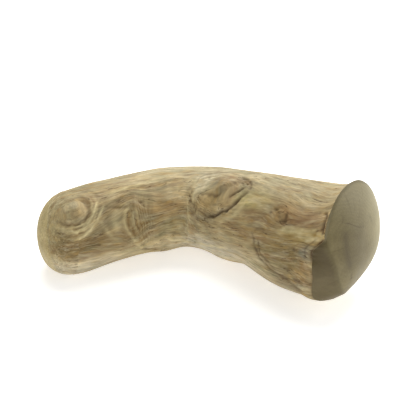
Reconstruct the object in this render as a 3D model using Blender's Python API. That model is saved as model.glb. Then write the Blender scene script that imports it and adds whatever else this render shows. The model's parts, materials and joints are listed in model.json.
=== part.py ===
"""Dry root: one bent length of root wood, stripped of its bark and sanded at both ends.

Lengths are millimetres until the mesh is made, and metres from there on.  A place on
the root is (along, around): millimetres along the stem from its narrow end, and
radians round the stem, from 0 at the front up over the top.
"""

from math import pi, radians

import bmesh
import bpy
import numpy as np
from mathutils import Matrix, Vector

for leftover in list(bpy.data.objects):
    bpy.data.objects.remove(leftover)

MM = 0.001

# The stem: x, y, z of its middle, then half width and half height of its section.
STATIONS = np.array([
    (-60.0, 4.0, 20.0, 20.0, 20.4),
    (-46.0, 15.0, 20.8, 21.4, 21.4),
    (-33.0, 25.5, 20.6, 20.8, 20.4),
    (-19.0, 35.0, 20.6, 21.8, 20.6),
    (-4.0, 41.5, 20.4, 22.0, 20.4),
    (11.5, 38.0, 21.4, 22.4, 22.0),
    (26.5, 29.0, 23.4, 23.0, 23.8),
    (42.0, 18.0, 25.8, 23.6, 25.6),
    (57.0, 9.5, 28.0, 24.4, 26.4),
    (69.0, 4.5, 29.4, 25.0, 26.0),
    (81.0, 1.0, 31.6, 25.2, 23.2),
])
USUAL_RADIUS = 22.0  # turns an angle round the stem into millimetres

# Stub of a cut side root: a low plateau, its long side leaning across the grain.
STUB_AT = (87.5, radians(58))
STUB_LEAN = radians(45)
STUB_HALF_LONG = 14.0
STUB_HALF_WIDE = 8.6
STUB_HEIGHT = 2.6
STUB_CREASE = 1.0

# Grown-over burl near the narrow end, with one ridge round it.
BURL_AT = (-1.0, radians(57))
BURL_HALF_LONG = 8.5
BURL_HALF_WIDE = 9.5
BURL_HEIGHT = 2.2
BURL_RIDGE = 0.8

# Folds squeezed up on the inside of the bend: place along, height, half breadth.
FOLDS = [(29.5, 0.9, 2.4), (40.0, 0.8, 2.2), (48.5, 0.7, 2.2)]
FOLDS_AROUND = radians(18)
FOLDS_REACH = radians(52)
FOLDS_BOW = 5.0

# Side root fused along the lower front of the wide end.
SIDE_ROOT_START = 110.5
SIDE_ROOT_RISE = 28.0
SIDE_ROOT_AROUND = radians(-31)
SIDE_ROOT_REACH = radians(37)
SIDE_ROOT_HEIGHT = 5.0

# The rim of the wide end turns outwards, most at the top.
FLARE_HEIGHT = 4.8
FLARE_LENGTH = 4.5

# Gentle swellings: (along, degrees round), height, breadth along, breadth round.
SWELLINGS = [
    ((4.0, -50), 1.4, 10.0, 11.0),
    ((49.5, -52), 1.0, 7.0, 8.0),
    ((54.5, 100), 0.6, 9.0, 14.0),
    ((78.5, 112), 0.4, 12.0, 14.0),
    ((93.5, -62), 1.0, 8.0, 9.0),
    ((109.5, -58), -1.4, 9.0, 10.0),
    ((136.0, -105), 3.0, 11.0, 12.0),
    ((164.0, -98), -2.6, 9.0, 17.0),
    ((160.5, -37), 2.8, 9.0, 5.0),
    ((163.0, -62), -1.0, 8.0, 6.0),
]

# The sanded ends: how far they bulge, and how they lean towards the front and the top.
WIDE_DOME = 7.2
WIDE_ROUNDING = 2.8  # the higher, the flatter the middle and the rounder the edge
WIDE_LEAN = (-0.16, -0.02)
WIDE_FACET_SLOPE = 1.1
WIDE_FACET_FROM = 20.5
WIDE_FACET_TOWARDS = radians(-20)
FACET_STEP = 5.6
FACET_TOP = (12, 28)  # degrees round the rim between which the step begins
FACET_BOTTOM = (-68, -30)  # degrees between which the facet runs out below
FACET_NARROWS = (-12, 30)  # degrees over which it narrows towards its step
FACET_BREADTH = 0.18  # as a share of the face's radius
NO_BREADTH = 0.004
NARROW_DOME = 15.5
NARROW_ROUNDING = 2.3
NARROW_LEAN = (0.10, -0.12)
LEAN_SPREAD = 26.0  # length of stem over which the sections tilt to meet an end

SIDE_RINGS = 68
RING_POINTS = 48
END_RINGS = 7
END_RING_CROWDING = 0.83  # under 1, the rings crowd towards the rim
SHARP_ANGLE = radians(50)

WOOD_COLOUR = (0.44, 0.35, 0.21, 1.0)
WOOD_ROUGHNESS = 0.78


def smooth_step(value, start, end):
    """0 before start, 1 after end, and an S-shaped rise between them."""
    share = np.clip((value - start) / (end - start), 0, 1)
    return share * share * (3 - 2 * share)


def turned_from(around, angle):
    """The turn from an angle, between minus and plus half a circle."""
    return (around - angle + pi) % (2 * pi) - pi


def b_spline(values, steps):
    """A uniform cubic B-spline that follows the values and holds its two ends."""
    held = np.vstack([2 * values[0] - values[1], values, 2 * values[-1] - values[-2]])
    first = np.clip(np.floor(steps).astype(int), 0, len(values) - 2)
    f = (steps - first)[:, None]
    return (
        (1 - f) ** 3 * held[first]
        + (3 * f**3 - 6 * f**2 + 4) * held[first + 1]
        + (1 + 3 * f + 3 * f**2 - 3 * f**3) * held[first + 2]
        + f**3 * held[first + 3]
    ) / 6


STEM = b_spline(STATIONS, np.linspace(0, len(STATIONS) - 1, 2000))
STEM_ALONG = np.concatenate([[0], np.cumsum(np.linalg.norm(np.diff(STEM[:, :3], axis=0), axis=1))])
LENGTH = STEM_ALONG[-1]


def stem_at(along):
    """The stem's middle and half sizes, running straight on past both ends."""
    found = np.stack([np.interp(along, STEM_ALONG, column) for column in STEM.T], axis=-1)
    start = (STEM[1, :3] - STEM[0, :3]) / STEM_ALONG[1]
    end = (STEM[-1, :3] - STEM[-2, :3]) / (LENGTH - STEM_ALONG[-2])
    found[..., :3] += np.minimum(along, 0)[..., None] * start
    found[..., :3] += np.maximum(along - LENGTH, 0)[..., None] * end
    return found


def section_axes(along):
    """Unit vectors at a place on the stem: onwards, to the front, and up."""
    onwards = stem_at(along + 1)[..., :3] - stem_at(along - 1)[..., :3]
    onwards /= np.linalg.norm(onwards, axis=-1, keepdims=True)
    front = np.cross(onwards, (0, 0, 1))
    front /= np.linalg.norm(front, axis=-1, keepdims=True)
    return onwards, front, np.cross(front, onwards)


def stub(along, around):
    """A plateau that rises slowly from one side and drops at its lip into a crease."""
    dx = along - STUB_AT[0]
    dy = turned_from(around, STUB_AT[1]) * USUAL_RADIUS
    lengthways = dx * np.cos(STUB_LEAN) + dy * np.sin(STUB_LEAN)
    crossways = dx * np.sin(STUB_LEAN) - dy * np.cos(STUB_LEAN)
    within = np.exp(-np.abs(lengthways / STUB_HALF_LONG) ** 3.5)
    rise = smooth_step(crossways, -1.5 * STUB_HALF_WIDE, 0.5 * STUB_HALF_WIDE)
    drop = 1 - smooth_step(crossways, 0.8 * STUB_HALF_WIDE, 1.1 * STUB_HALF_WIDE)
    crease = np.exp(-((crossways - 1.2 * STUB_HALF_WIDE) / 1.6) ** 2)
    return within * (STUB_HEIGHT * rise * drop - STUB_CREASE * crease)


def burl(along, around):
    """A rounded bump with a ridge round it, strongest below and away from the end."""
    dx = (along - BURL_AT[0]) / BURL_HALF_LONG
    dy = turned_from(around, BURL_AT[1]) * USUAL_RADIUS / BURL_HALF_WIDE
    distance = np.hypot(dx, dy)
    bump = np.exp(-((distance / 0.62) ** 3))
    ridge = np.exp(-(((distance - 1.25) / 0.22) ** 2))
    side = 0.35 + 0.65 * np.clip(np.cos(np.arctan2(dy, dx) + radians(40)), 0, 1)
    return BURL_HEIGHT * bump + BURL_RIDGE * ridge * side


def folds(along, around):
    """Bowed ridges across the inside of the bend, fading out above and below."""
    turn = turned_from(around, FOLDS_AROUND)
    bow = FOLDS_BOW * (turn / radians(60)) ** 2
    ridges = sum(
        height * np.exp(-(((along - place - bow) / breadth) ** 2))
        for place, height, breadth in FOLDS
    )
    return ridges * np.exp(-np.abs(turn / FOLDS_REACH) ** 3)


def side_root(along, around):
    """A long swelling that rises from a blunt tip and keeps growing to the rim."""
    turn = turned_from(around, SIDE_ROOT_AROUND)
    tip = SIDE_ROOT_START + 6 * turn / radians(60)
    rise = smooth_step(along, tip, tip + SIDE_ROOT_RISE)
    growth = 0.55 + 0.45 * smooth_step(along, tip, LENGTH)
    return SIDE_ROOT_HEIGHT * rise * growth * np.exp(-np.abs(turn / SIDE_ROOT_REACH) ** 2.6)


def flare(along, around):
    """The outward curl of the wide end's rim."""
    top = 0.15 + 0.85 * np.clip(np.cos(turned_from(around, radians(95))), 0, 1)
    return FLARE_HEIGHT * top * np.exp((along - LENGTH) / FLARE_LENGTH)


def swellings(along, around):
    """The sum of the gentle rounded rises and hollows."""
    total = 0
    for (place, degrees), height, long, wide in SWELLINGS:
        across = turned_from(around, radians(degrees)) * USUAL_RADIUS
        total = total + height * np.exp(-(((along - place) / long) ** 2) - (across / wide) ** 2)
    return total


def radius(along, around):
    """Distance from the stem's middle to its surface: an ellipse and its relief."""
    half_width, half_height = stem_at(along)[..., 3], stem_at(along)[..., 4]
    ellipse = 1 / np.hypot(np.cos(around) / half_width, np.sin(around) / half_height)
    relief = (stub, burl, folds, side_root, flare, swellings)
    return ellipse + sum(shape(along, around) for shape in relief)


def wide_dome(share, around, rim):
    """Height of the wide end's sanded dome."""
    to_front, up = share * rim * np.cos(around), share * rim * np.sin(around)
    return WIDE_DOME * (1 - share**WIDE_ROUNDING) + WIDE_LEAN[0] * to_front + WIDE_LEAN[1] * up


def wide_rim(around, rim):
    """Height of the wide end's rim: the dome's edge, set back where a slanting facet
    cuts it, from a step at the front to its lower side."""
    degrees = np.degrees(turned_from(around, 0))
    step = (1 - smooth_step(degrees, *FACET_TOP)) * smooth_step(degrees, *FACET_BOTTOM)
    slanting = WIDE_FACET_FROM - rim * np.cos(around - WIDE_FACET_TOWARDS)
    return np.minimum(
        wide_dome(1.0, around, rim) - FACET_STEP * step, WIDE_FACET_SLOPE * slanting
    )


def wide_end(share, around, rim):
    """Height of the wide end's face: its dome, and the facet between the dome and rim."""
    degrees = np.degrees(turned_from(around, 0))
    narrowing = 1 - smooth_step(degrees, *FACET_NARROWS)
    breadth = FACET_BREADTH * narrowing * smooth_step(degrees, *FACET_BOTTOM)
    line = 1 - np.maximum(breadth, NO_BREADTH)
    at_line = wide_dome(line, around, rim)
    down = np.clip((share - line) / (1 - line), 0, 1)
    facet = at_line + (wide_rim(around, rim) - at_line) * down
    return np.where(share > line, facet, wide_dome(share, around, rim))


def narrow_end(share, around, rim):
    """Height of the narrow end's rounded nose."""
    nose = NARROW_DOME * np.sqrt(np.clip(1 - share**NARROW_ROUNDING, 0, 1))
    to_front, up = share * rim * np.cos(around), share * rim * np.sin(around)
    return nose + NARROW_LEAN[0] * to_front + NARROW_LEAN[1] * up


def side_rings(around):
    """Rings up the stem's side; the last ones tilt to meet the rims of both ends."""
    along = np.linspace(0, LENGTH, SIDE_RINGS)[:, None] + 0 * around
    out = radius(along, around)
    to_front, up = out * np.cos(around), out * np.sin(around)
    at_wide_rim = wide_rim(around[0], out[-1])
    at_narrow_rim = narrow_end(1.0, around[0], out[0])
    tilted = (
        along
        + at_wide_rim * smooth_step(along, LENGTH - LEAN_SPREAD, LENGTH)
        - at_narrow_rim * (1 - smooth_step(along, 0, LEAN_SPREAD))
    )
    _, front, top = section_axes(along)
    return stem_at(tilted)[..., :3] + front * to_front[..., None] + top * up[..., None]


def end_rings(place, height, onward_sign, around):
    """Rings over one end, from just inside its rim to just short of its middle."""
    share = np.sin(np.linspace(pi / 2, 0, END_RINGS + 1)[1:-1, None]) ** END_RING_CROWDING
    along = place + 0 * (share + around)
    out_by = onward_sign * height(share, around, radius(along, around))
    out = share * radius(np.minimum(along + out_by, LENGTH), around)
    to_front, up = out * np.cos(around), out * np.sin(around)
    onwards, front, top = section_axes(along)
    return (
        stem_at(along)[..., :3]
        + onwards * out_by[..., None]
        + front * to_front[..., None]
        + top * up[..., None]
    )


def root_rings():
    """Every ring of the root's surface, from its narrow tip to its wide face."""
    around = np.linspace(0, 2 * pi, RING_POINTS, endpoint=False)[None]
    nose = end_rings(0.0, narrow_end, -1, around)[::-1]
    face = end_rings(LENGTH, wide_end, 1, around)
    return np.concatenate([nose, side_rings(around), face])


def add_ring(mesh, points):
    """One closed loop of edges."""
    corners = [mesh.verts.new(Vector(point) * MM) for point in points]
    return [mesh.edges.new(pair) for pair in zip(corners, corners[1:] + corners[:1])]


def close_end(mesh, ring):
    """A fan of faces from the ring to a point in its middle."""
    face = bmesh.ops.contextual_create(mesh, geom=ring)["faces"]
    bmesh.ops.poke(mesh, faces=face)


def flatten_underside(mesh):
    """Cuts off what lies below z = 0, which leaves the worn flats the root rests on."""
    everything = mesh.verts[:] + mesh.edges[:] + mesh.faces[:]
    bmesh.ops.bisect_plane(
        mesh, geom=everything, dist=1e-7, plane_co=(0, 0, 0), plane_no=(0, 0, -1), clear_outer=True
    )
    rims = [edge for edge in mesh.edges if edge.is_boundary]
    bmesh.ops.holes_fill(mesh, edges=rims, sides=0)


def centre_over_origin(mesh):
    """Moves the root so that the middle of its underside's box is the origin."""
    places = np.array([vertex.co for vertex in mesh.verts])
    middle = (places.min(axis=0) + places.max(axis=0)) / 2
    bmesh.ops.transform(
        mesh, matrix=Matrix.Translation((-middle[0], -middle[1], 0)), verts=mesh.verts
    )


def wood():
    """Bare dry wood, matt."""
    material = bpy.data.materials.new("stripped_root_wood")
    material.use_nodes = True
    shader = material.node_tree.nodes["Principled BSDF"]
    shader.inputs["Base Color"].default_value = WOOD_COLOUR
    shader.inputs["Roughness"].default_value = WOOD_ROUGHNESS
    shader.inputs["Metallic"].default_value = 0.0
    return material


def dry_root():
    """The whole root as one closed body."""
    mesh = bmesh.new()
    rings = [add_ring(mesh, points) for points in root_rings()]
    for ring, following in zip(rings, rings[1:]):
        bmesh.ops.bridge_loops(mesh, edges=ring + following)
    close_end(mesh, rings[0])
    close_end(mesh, rings[-1])
    bmesh.ops.triangulate(mesh, faces=mesh.faces)
    flatten_underside(mesh)
    centre_over_origin(mesh)
    bmesh.ops.recalc_face_normals(mesh, faces=mesh.faces)

    data = bpy.data.meshes.new("dry_root")
    mesh.to_mesh(data)
    mesh.free()
    data.materials.append(wood())
    data.shade_smooth()
    data.set_sharp_from_angle(angle=SHARP_ANGLE)
    root = bpy.data.objects.new("dry_root", data)
    bpy.context.scene.collection.objects.link(root)
    return root


dry_root()
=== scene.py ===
"""The dry root's looks: one bent length of root wood, bare of bark, with sanded ends.

Lengths are millimetres until the mesh is made, and metres from there on.  A place on
the root is (along, around): millimetres along the stem from its narrow end, and
radians round the stem, from 0 at the front up over the top.  Lists of marks give the
angle round the stem in degrees.
"""

import itertools
import json
from math import cos, pi, radians, sin

import bpy
import numpy as np
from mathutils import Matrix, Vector

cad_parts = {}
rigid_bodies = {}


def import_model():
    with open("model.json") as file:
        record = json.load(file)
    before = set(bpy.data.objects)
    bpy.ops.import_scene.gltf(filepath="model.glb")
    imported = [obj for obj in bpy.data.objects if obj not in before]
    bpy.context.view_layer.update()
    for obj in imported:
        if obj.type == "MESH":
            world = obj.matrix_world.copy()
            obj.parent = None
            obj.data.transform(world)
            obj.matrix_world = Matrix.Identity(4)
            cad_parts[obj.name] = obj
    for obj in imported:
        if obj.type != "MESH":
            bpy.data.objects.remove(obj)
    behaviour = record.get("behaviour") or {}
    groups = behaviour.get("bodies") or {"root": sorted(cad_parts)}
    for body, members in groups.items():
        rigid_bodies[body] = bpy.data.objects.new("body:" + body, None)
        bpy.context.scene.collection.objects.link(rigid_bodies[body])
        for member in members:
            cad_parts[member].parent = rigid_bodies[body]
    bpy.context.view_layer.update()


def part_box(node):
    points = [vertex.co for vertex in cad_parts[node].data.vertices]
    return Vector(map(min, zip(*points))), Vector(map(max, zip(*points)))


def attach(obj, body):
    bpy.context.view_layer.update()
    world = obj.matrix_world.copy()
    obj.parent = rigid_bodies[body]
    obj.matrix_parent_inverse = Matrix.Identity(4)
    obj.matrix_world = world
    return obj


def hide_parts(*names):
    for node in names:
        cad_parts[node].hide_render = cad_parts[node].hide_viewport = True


# The objects of an empty file's start go before the frame comes.
for leftover in list(bpy.data.objects):
    bpy.data.objects.remove(leftover)

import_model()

MM = 0.001
NODE = "dry_root"

# ---------------------------------------------------------------- the CAD's own form

# The stem: x, y, z of its middle, then half width and half height of its section.
STATIONS = np.array([
    (-60.0, 4.0, 20.0, 20.0, 20.4),
    (-46.0, 15.0, 20.8, 21.4, 21.4),
    (-33.0, 25.5, 20.6, 20.8, 20.4),
    (-19.0, 35.0, 20.6, 21.8, 20.6),
    (-4.0, 41.5, 20.4, 22.0, 20.4),
    (11.5, 38.0, 21.4, 22.4, 22.0),
    (26.5, 29.0, 23.4, 23.0, 23.8),
    (42.0, 18.0, 25.8, 23.6, 25.6),
    (57.0, 9.5, 28.0, 24.4, 26.4),
    (69.0, 4.5, 29.4, 25.0, 26.0),
    (81.0, 1.0, 31.6, 25.2, 23.2),
])
USUAL_RADIUS = 22.0  # turns an angle round the stem into millimetres

# Stub of a cut side root: a low plateau, its long side leaning across the grain.
STUB_AT = (87.5, radians(58))
STUB_LEAN = radians(45)
STUB_HALF_LONG = 14.0
STUB_HALF_WIDE = 8.6
STUB_HEIGHT = 2.6

# Grown-over burl near the narrow end, with ridges round it.
BURL_AT = (-1.0, radians(57))
BURL_HALF_LONG = 8.5
BURL_HALF_WIDE = 9.5
BURL_HEIGHT = 2.2
BURL_RIDGE = 0.8

# Folds squeezed up on the inside of the bend: place along, height, half breadth.
FOLDS = [(29.5, 0.9, 2.4), (40.0, 0.8, 2.2), (48.5, 0.7, 2.2)]
FOLDS_AROUND = radians(18)
FOLDS_REACH = radians(52)
FOLDS_BOW = 5.0

# Side root fused along the lower front of the wide end.
SIDE_ROOT_START = 110.5
SIDE_ROOT_RISE = 28.0
SIDE_ROOT_AROUND = radians(-31)
SIDE_ROOT_REACH = radians(37)
SIDE_ROOT_HEIGHT = 5.0

# The rim of the wide end turns outwards, most at the top.
FLARE_HEIGHT = 4.8
FLARE_LENGTH = 4.5

# Gentle swellings: (along, degrees round), height, breadth along, breadth round.
SWELLINGS = [
    ((4.0, -50), 1.4, 10.0, 11.0),
    ((49.5, -52), 1.0, 7.0, 8.0),
    ((54.5, 100), 0.6, 9.0, 14.0),
    ((78.5, 112), 0.4, 12.0, 14.0),
    ((93.5, -62), 1.0, 8.0, 9.0),
    ((109.5, -58), -1.4, 9.0, 10.0),
    ((136.0, -105), 3.0, 11.0, 12.0),
    ((164.0, -98), -2.6, 9.0, 17.0),
    ((160.5, -37), 2.8, 9.0, 5.0),
    ((163.0, -62), -1.0, 8.0, 6.0),
]

# The sanded ends: how far they bulge, and how they lean towards the front and the top.
WIDE_DOME = 7.2
WIDE_ROUNDING = 2.8  # the higher, the flatter the middle and the rounder the edge
WIDE_LEAN = (-0.16, -0.02)
WIDE_FACET_SLOPE = 1.1
WIDE_FACET_FROM = 20.5
WIDE_FACET_TOWARDS = radians(-20)
FACET_STEP = 5.6
FACET_TOP = (12, 28)  # degrees round the rim between which the step begins
FACET_BOTTOM = (-68, -30)  # degrees between which the facet runs out below
FACET_NARROWS = (-12, 30)  # degrees over which it narrows towards its step
FACET_BREADTH = 0.18  # as a share of the face's radius
NO_BREADTH = 0.004  # keeps the facet's line just inside the rim where there is none
RIM_OUTLINE_FROM = 0.965  # share of the radius past which the face takes the carved rim
NARROW_DOME = 15.5
NARROW_ROUNDING = 2.3
NARROW_LEAN = (0.10, -0.12)
LEAN_SPREAD = 26.0  # length of stem over which the sections tilt to meet an end

# The plane of the sanded nose: x, y, z shares and the value where the sanding starts.
NOSE_PLANE = (1.0, 0.04, 0.179)
NOSE_PLANE_AT = -61.1

# Edges of the sanded planes: millimetres over which one starts, and the middle and
# half breadth of the line that marks it.
SOFT_FACET = (-0.2, 0.5)
FACET_EDGE = (-0.4, 0.7)
SOFT_NOSE = (-0.3, 0.5)
NOSE_EDGE = (-0.7, 0.6)
NOSE_EDGE_DARKNESS = 0.2
NOSE_EDGE_TO = 3.0  # millimetres along, past which there is no such line

# ---------------------------------------------------------------- how fine the mesh is

SIDE_ROWS = 236
NOSE_ROWS = 42
FACE_ROWS = 38
ROUND = 296
END_ROW_CROWDING = 0.83  # under 1, the rows crowd towards the rim
NOSE, SIDE, FACE = range(3)  # the parts that rows belong to

# ---------------------------------------------------------------- grain and marks

# The fibres part round these: (along, degrees), half length, half breadth, lean, and
# how softly: under 1 they close into an eye in the middle, over 1 they only spread.
KNOTS = [
    ((-1.0, 57), 8.5, 8.5, 0.0, 0.55),
    ((98.0, 50), 16.0, 9.5, radians(42), 1.15),
    ((136.5, 43), 4.5, 3.6, 0.0, 1.2),
    ((45.0, -45), 5.0, 4.5, 0.0, 0.9),
    ((27.0, 24), 9.0, 5.0, radians(70), 1.1),
    ((33.0, 163), 4.5, 3.6, 0.0, 0.8),
    ((84.0, 196), 5.5, 4.2, radians(20), 0.9),
    ((126.0, 158), 4.0, 3.4, 0.0, 0.8),
]
# The fibres also wander: by how much across, over what length along and across.
GRAIN_WANDER = 3.0
GRAIN_WANDER_LONG = 34.0
GRAIN_WANDER_WIDE = 13.0
GRAIN_WANDER_SEED = 31
KNOT_REACH = 34.0  # round the stem, the parting has died away by here

# Unevenness of the marks: wavelengths along and across the grain, size, seed.
WANDER = [(2.6, 1.8, 1.0, 21), (1.1, 0.8, 0.6, 22)]
SWAY = [(7.0, 6.0, 0.9, 23)]
PATCHES = [(4.0, 2.6, 0.6, 24)]
SHAKE = [(5.0, 5.0, 1.0, 25), (1.9, 1.9, 0.5, 26)]
# How far these shift a mark, in millimetres.
MARK_SWAY = 0.8
MARK_WANDER = 0.25
MARK_SHAKE = 0.65
# How ragged its edges are, as a share of its half breadth.
RAGGED = 0.35
STREAK_RAGGED = 0.5
# Beside a crease the wood is darkened, partly a brown stain and partly painted shade.
STAIN_AND_SHADE_SPREAD = 1.2  # a crease's stain is this much broader than its cut
PIT_LENGTH = 1.4  # and a pit this much longer than broad
# Pits are darkened: partly stain, partly painted shade.
PIT_DARKNESS = 0.55
# A streak is painted paler the higher it stands: partly wear, partly painted highlight.
STREAK_PALENESS = 1.8  # per millimetre of a streak's height

# Creases: points (along, degrees) they pass through, depth, half breadth, darkness,
# which is partly stain and partly painted shade.
CREASES = {
    "under_the_stub": (
        [(91.5, 17.5), (95.5, 18.8), (99.5, 21.2), (104.2, 28.8), (109.6, 39.6),
         (113.1, 50.4), (114.4, 63)],
        1.2, 0.75, 0.75),
    "under_the_stub_tail": (
        [(96, 19), (91, 19.5), (86.5, 23.5), (83.0, 29)], 0.5, 0.9, 0.3),
    "stub_inner_groove": (
        [(104.6, 48), (107.0, 54), (109.8, 60), (110.9, 67)], 0.8, 0.55, 0.8),
    "stub_wavy_line": (
        [(79.5, 42), (84, 44.5), (89.5, 43), (94.5, 45.5), (99.0, 49.5)], 0.3, 0.6, 0.45),
    "stub_tip": (
        [(103.0, 78), (107.5, 79.5), (111.5, 76.5), (113.8, 70), (114.6, 64)], 0.8, 0.55, 0.7),
    "stub_back": (
        [(75.6, 58), (75.4, 72), (80, 81), (88, 85), (97, 85.5), (105, 82)], 0.35, 0.7, 0.28),
    "left_of_the_stub": (
        [(74, 50), (72.6, 43), (74.6, 35.5), (80.5, 29), (86, 22)], 0.4, 0.5, 0.4),
    "side_root": (
        [(123.4, 20), (124.0, 15), (125.6, 9), (124.9, 3), (127.6, -3), (127.9, -9.0),
         (132.0, -12.8), (133.8, -18.2), (139.3, -20.0), (146.7, -20.8), (155, -17.5)],
        0.5, 0.45, 0.6),
    "side_root_second": (
        [(126.6, 12), (128.2, 6), (127.9, -2), (130.8, -6.5), (133.9, -10.6), (137.4, -16)],
        0.35, 0.45, 0.5),
    "side_root_hook": (
        [(124.2, 17), (127.5, 24.5), (130.5, 25.0)], 0.25, 0.5, 0.25),
    "beside_the_burl": (
        [(3.6, 74), (5.8, 64), (6.8, 54), (6.0, 45), (3.0, 37)], 0.35, 0.8, 0.24),
    "under_the_burl": (
        [(-9.0, 55), (-7.5, 46), (-4.0, 40), (0.0, 38), (3.5, 41)], 0.3, 0.9, 0.26),
    "wedge": (
        [(14.5, 50), (19, 46.5), (24, 43.2), (30, 41.5)], 0.4, 0.9, 0.22),
    "pitted_knot": (
        [(132.8, 46.5), (134.0, 50.5), (137.5, 50.5), (140.2, 46.5), (140.4, 40.5),
         (138.0, 36.8), (135.2, 34.6)],
        0.35, 0.7, 0.12),
    "pitted_knot_hole": (
        [(138.4, 47), (139.9, 43.5), (139.2, 40), (140.1, 37.5), (137.6, 35.0)], 0.9, 0.75, 0.78),
    "pitted_knot_inside": (
        [(133.5, 43), (135.5, 40), (137.5, 41.5), (137.0, 45)], 0.3, 0.5, 0.2),
    "torn_rim": (
        [(160.2, 55), (161.4, 48), (160.6, 41), (161.8, 34), (161.0, 29)], 0.9, 0.6, 0.8),
    "torn_notch": (
        [(162.6, 28), (162.0, 24.0), (162.2, 17.5), (162.4, 9), (162.4, 2)], 0.6, 0.7, 0.85),
    "below_the_notch": (
        [(162.2, 0), (162.3, -12), (162.3, -30), (162.3, -45)], 0.3, 0.5, 0.5),
    "torn_layer": (
        [(158.5, 26), (157.0, 20), (158.2, 13), (157.5, 6)], 0.4, 0.5, 0.4),
    "back_knot": (
        [(29.0, 160), (30.5, 169), (34.0, 171), (37.0, 165), (35.5, 157), (31.5, 155)],
        0.4, 0.6, 0.45),
    "back_knot_crack": (
        [(30.8, 164), (33.5, 161.5), (36.4, 164.5), (44, 163), (52, 165)], 0.5, 0.35, 0.7),
    "far_knot": (
        [(79.5, 192), (81.0, 203), (86.0, 206), (89.5, 199), (88.0, 190), (83.5, 187)],
        0.5, 0.7, 0.5),
    "far_crack": (
        [(92, 177), (101, 174), (112, 176), (121, 172.5), (133, 174)], 0.5, 0.35, 0.7),
    "under_the_bend": (
        [(31, -24), (35, -32), (39, -37), (43, -38)], 0.7, 0.6, 0.7),
}

# Pits: (along, degrees), depth, radius.
PITS = [
    ((71.3, 43.0), 0.7, 0.9), ((73.8, 35.5), 0.6, 0.8), ((80.8, 27.5), 0.7, 1.0),
    ((83.6, 24.5), 0.6, 0.9),
    ((106.6, 79.0), 0.7, 0.7), ((108.8, 75.5), 0.8, 0.7), ((110.9, 72.0), 0.7, 0.6),
    ((107.6, 71.0), 0.5, 0.6),
    ((133.4, 48.2), 0.6, 0.7), ((131.8, 44.6), 0.5, 0.6), ((134.9, 45.2), 0.4, 0.5),
    ((140.2, 42.0), 0.5, 0.8), ((138.2, 37.2), 0.6, 0.9),
    ((160.2, 52.0), 0.8, 0.8), ((161.3, 44.5), 0.9, 0.7), ((160.6, 36.5), 0.8, 0.8),
    ((158.0, 33.5), 0.5, 0.6),
    ((149.0, 12.5), 0.3, 0.8), ((34.3, 45.0), 0.5, 1.1),
    ((33.0, 163.0), 0.6, 1.5), ((84.5, 197.0), 0.7, 1.7), ((126.0, 158.0), 0.6, 1.3),
]

# Pale streaks, partly worn and partly painted highlight: points (along, degrees) they
# pass through, height, half breadth.
STREAKS = {
    "fold_b": (
        [(27.6, 46), (24.4, 38), (23.0, 28), (22.9, 16), (25.0, 2), (29.6, -15), (34.5, -32)],
        0.28, 0.85),
    "fold_a": ([(21.4, 44), (18.6, 34), (17.3, 22), (19.5, 9)], 0.15, 1.6),
    "fold_c": ([(30.5, 40), (27.4, 30), (26.6, 18), (29.0, 2), (34, -15), (39, -30)], 0.2, 0.6),
    "fold_d": ([(13.5, 49), (11.4, 36), (12.2, 24), (15.5, 9), (20.5, -6)], 0.15, 1.0),
    "above_the_notch": ([(143, 24), (149, 26.5), (155, 25.5), (161, 26.5)], 0.26, 1.0),
    "over_the_notch": ([(140, 31), (147, 32.5), (153, 31), (158, 32.5)], 0.3, 0.8),
    "beside_the_stub": ([(70, 40), (67.5, 30), (70, 20), (77, 12)], 0.3, 1.2),
    "under_the_stub": ([(100, 14), (107, 21), (113, 31), (117, 42)], 0.25, 1.2),
    "upper_left": ([(16, 66), (26, 71), (38, 72), (50, 76)], 0.25, 1.0),
    "below_the_folds": ([(46, -12), (53, -20), (62, -26), (72, -29)], 0.3, 1.0),
    "far_below": ([(78, -26), (88, -27), (98, -22), (108, -16)], 0.3, 0.9),
    "burl_inner": (
        [(-10.5, 52), (-8.5, 39), (-4, 28.5), (1, 27.5), (5.5, 34), (8.6, 44), (10.4, 55),
         (14, 64)],
        0.5, 0.7),
    "burl_outer": ([(-6, 20), (0, 18.5), (5, 23), (9.4, 33), (12.2, 44), (15, 53)], 0.45, 0.7),
    "burl_left": ([(-11.5, 60), (-10.5, 78), (-8.5, 92), (-4, 101)], 0.3, 0.7),
    "left_of_the_stub": ([(77, 47), (76.5, 38), (79.5, 33)], 0.4, 0.9),
    "lobe_top": ([(136, 24.5), (142, 29), (149, 30), (157, 29)], 0.35, 1.1),
    "notch_lip": ([(157.5, 30), (160, 31), (162.2, 30)], 0.5, 0.9),
}

# Fine ripples squeezed up across the grain beside the folds.
RIPPLES_AT = (31.5, radians(16))
RIPPLES_HALF_LONG = 6.5
RIPPLES_HALF_WIDE = 13.0
RIPPLE_LENGTH = 1.7
RIPPLE_HEIGHT = 0.06
# Crests are painted paler and hollows darker: partly the fibres' own colour, partly painted
# highlight and shade on ripples too low to shade themselves.
RIPPLE_PALENESS = 0.28  # of its crests
RIPPLE_DARKNESS = 0.30  # of its hollows

# Rings of fibre round the burl: lengths here are shares of the burl's half breadths.
BURL_RING_APART = 0.34
BURL_RING_HEIGHT = 0.28
# Ring crests are painted paler and hollows darker: partly the fibres' own colour, partly painted
# highlight and shade.
BURL_RING_PALENESS = 0.6
BURL_RING_DARKNESS = 0.36
BURL_RINGS_START = (0.78, 0.95)
BURL_RINGS_FADE = (1.05, 0.55)  # where they start to die away, and over what length

# Torn fibres stand proud of the rim above the notch, from some degrees to others.
LIP_HEIGHT = 0.9
LIP_LENGTH = 5.0
LIP_STARTS = (23, 28)
LIP_FADES = (44, 60)

# Carved relief of the weathered grain: wavelength along, wavelength across, height, seed.
GRAIN_RELIEF = [
    (46.0, 9.0, 0.50, 3),
    (24.0, 3.6, 0.30, 5),
    (14.0, 1.7, 0.15, 8),
]
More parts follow.
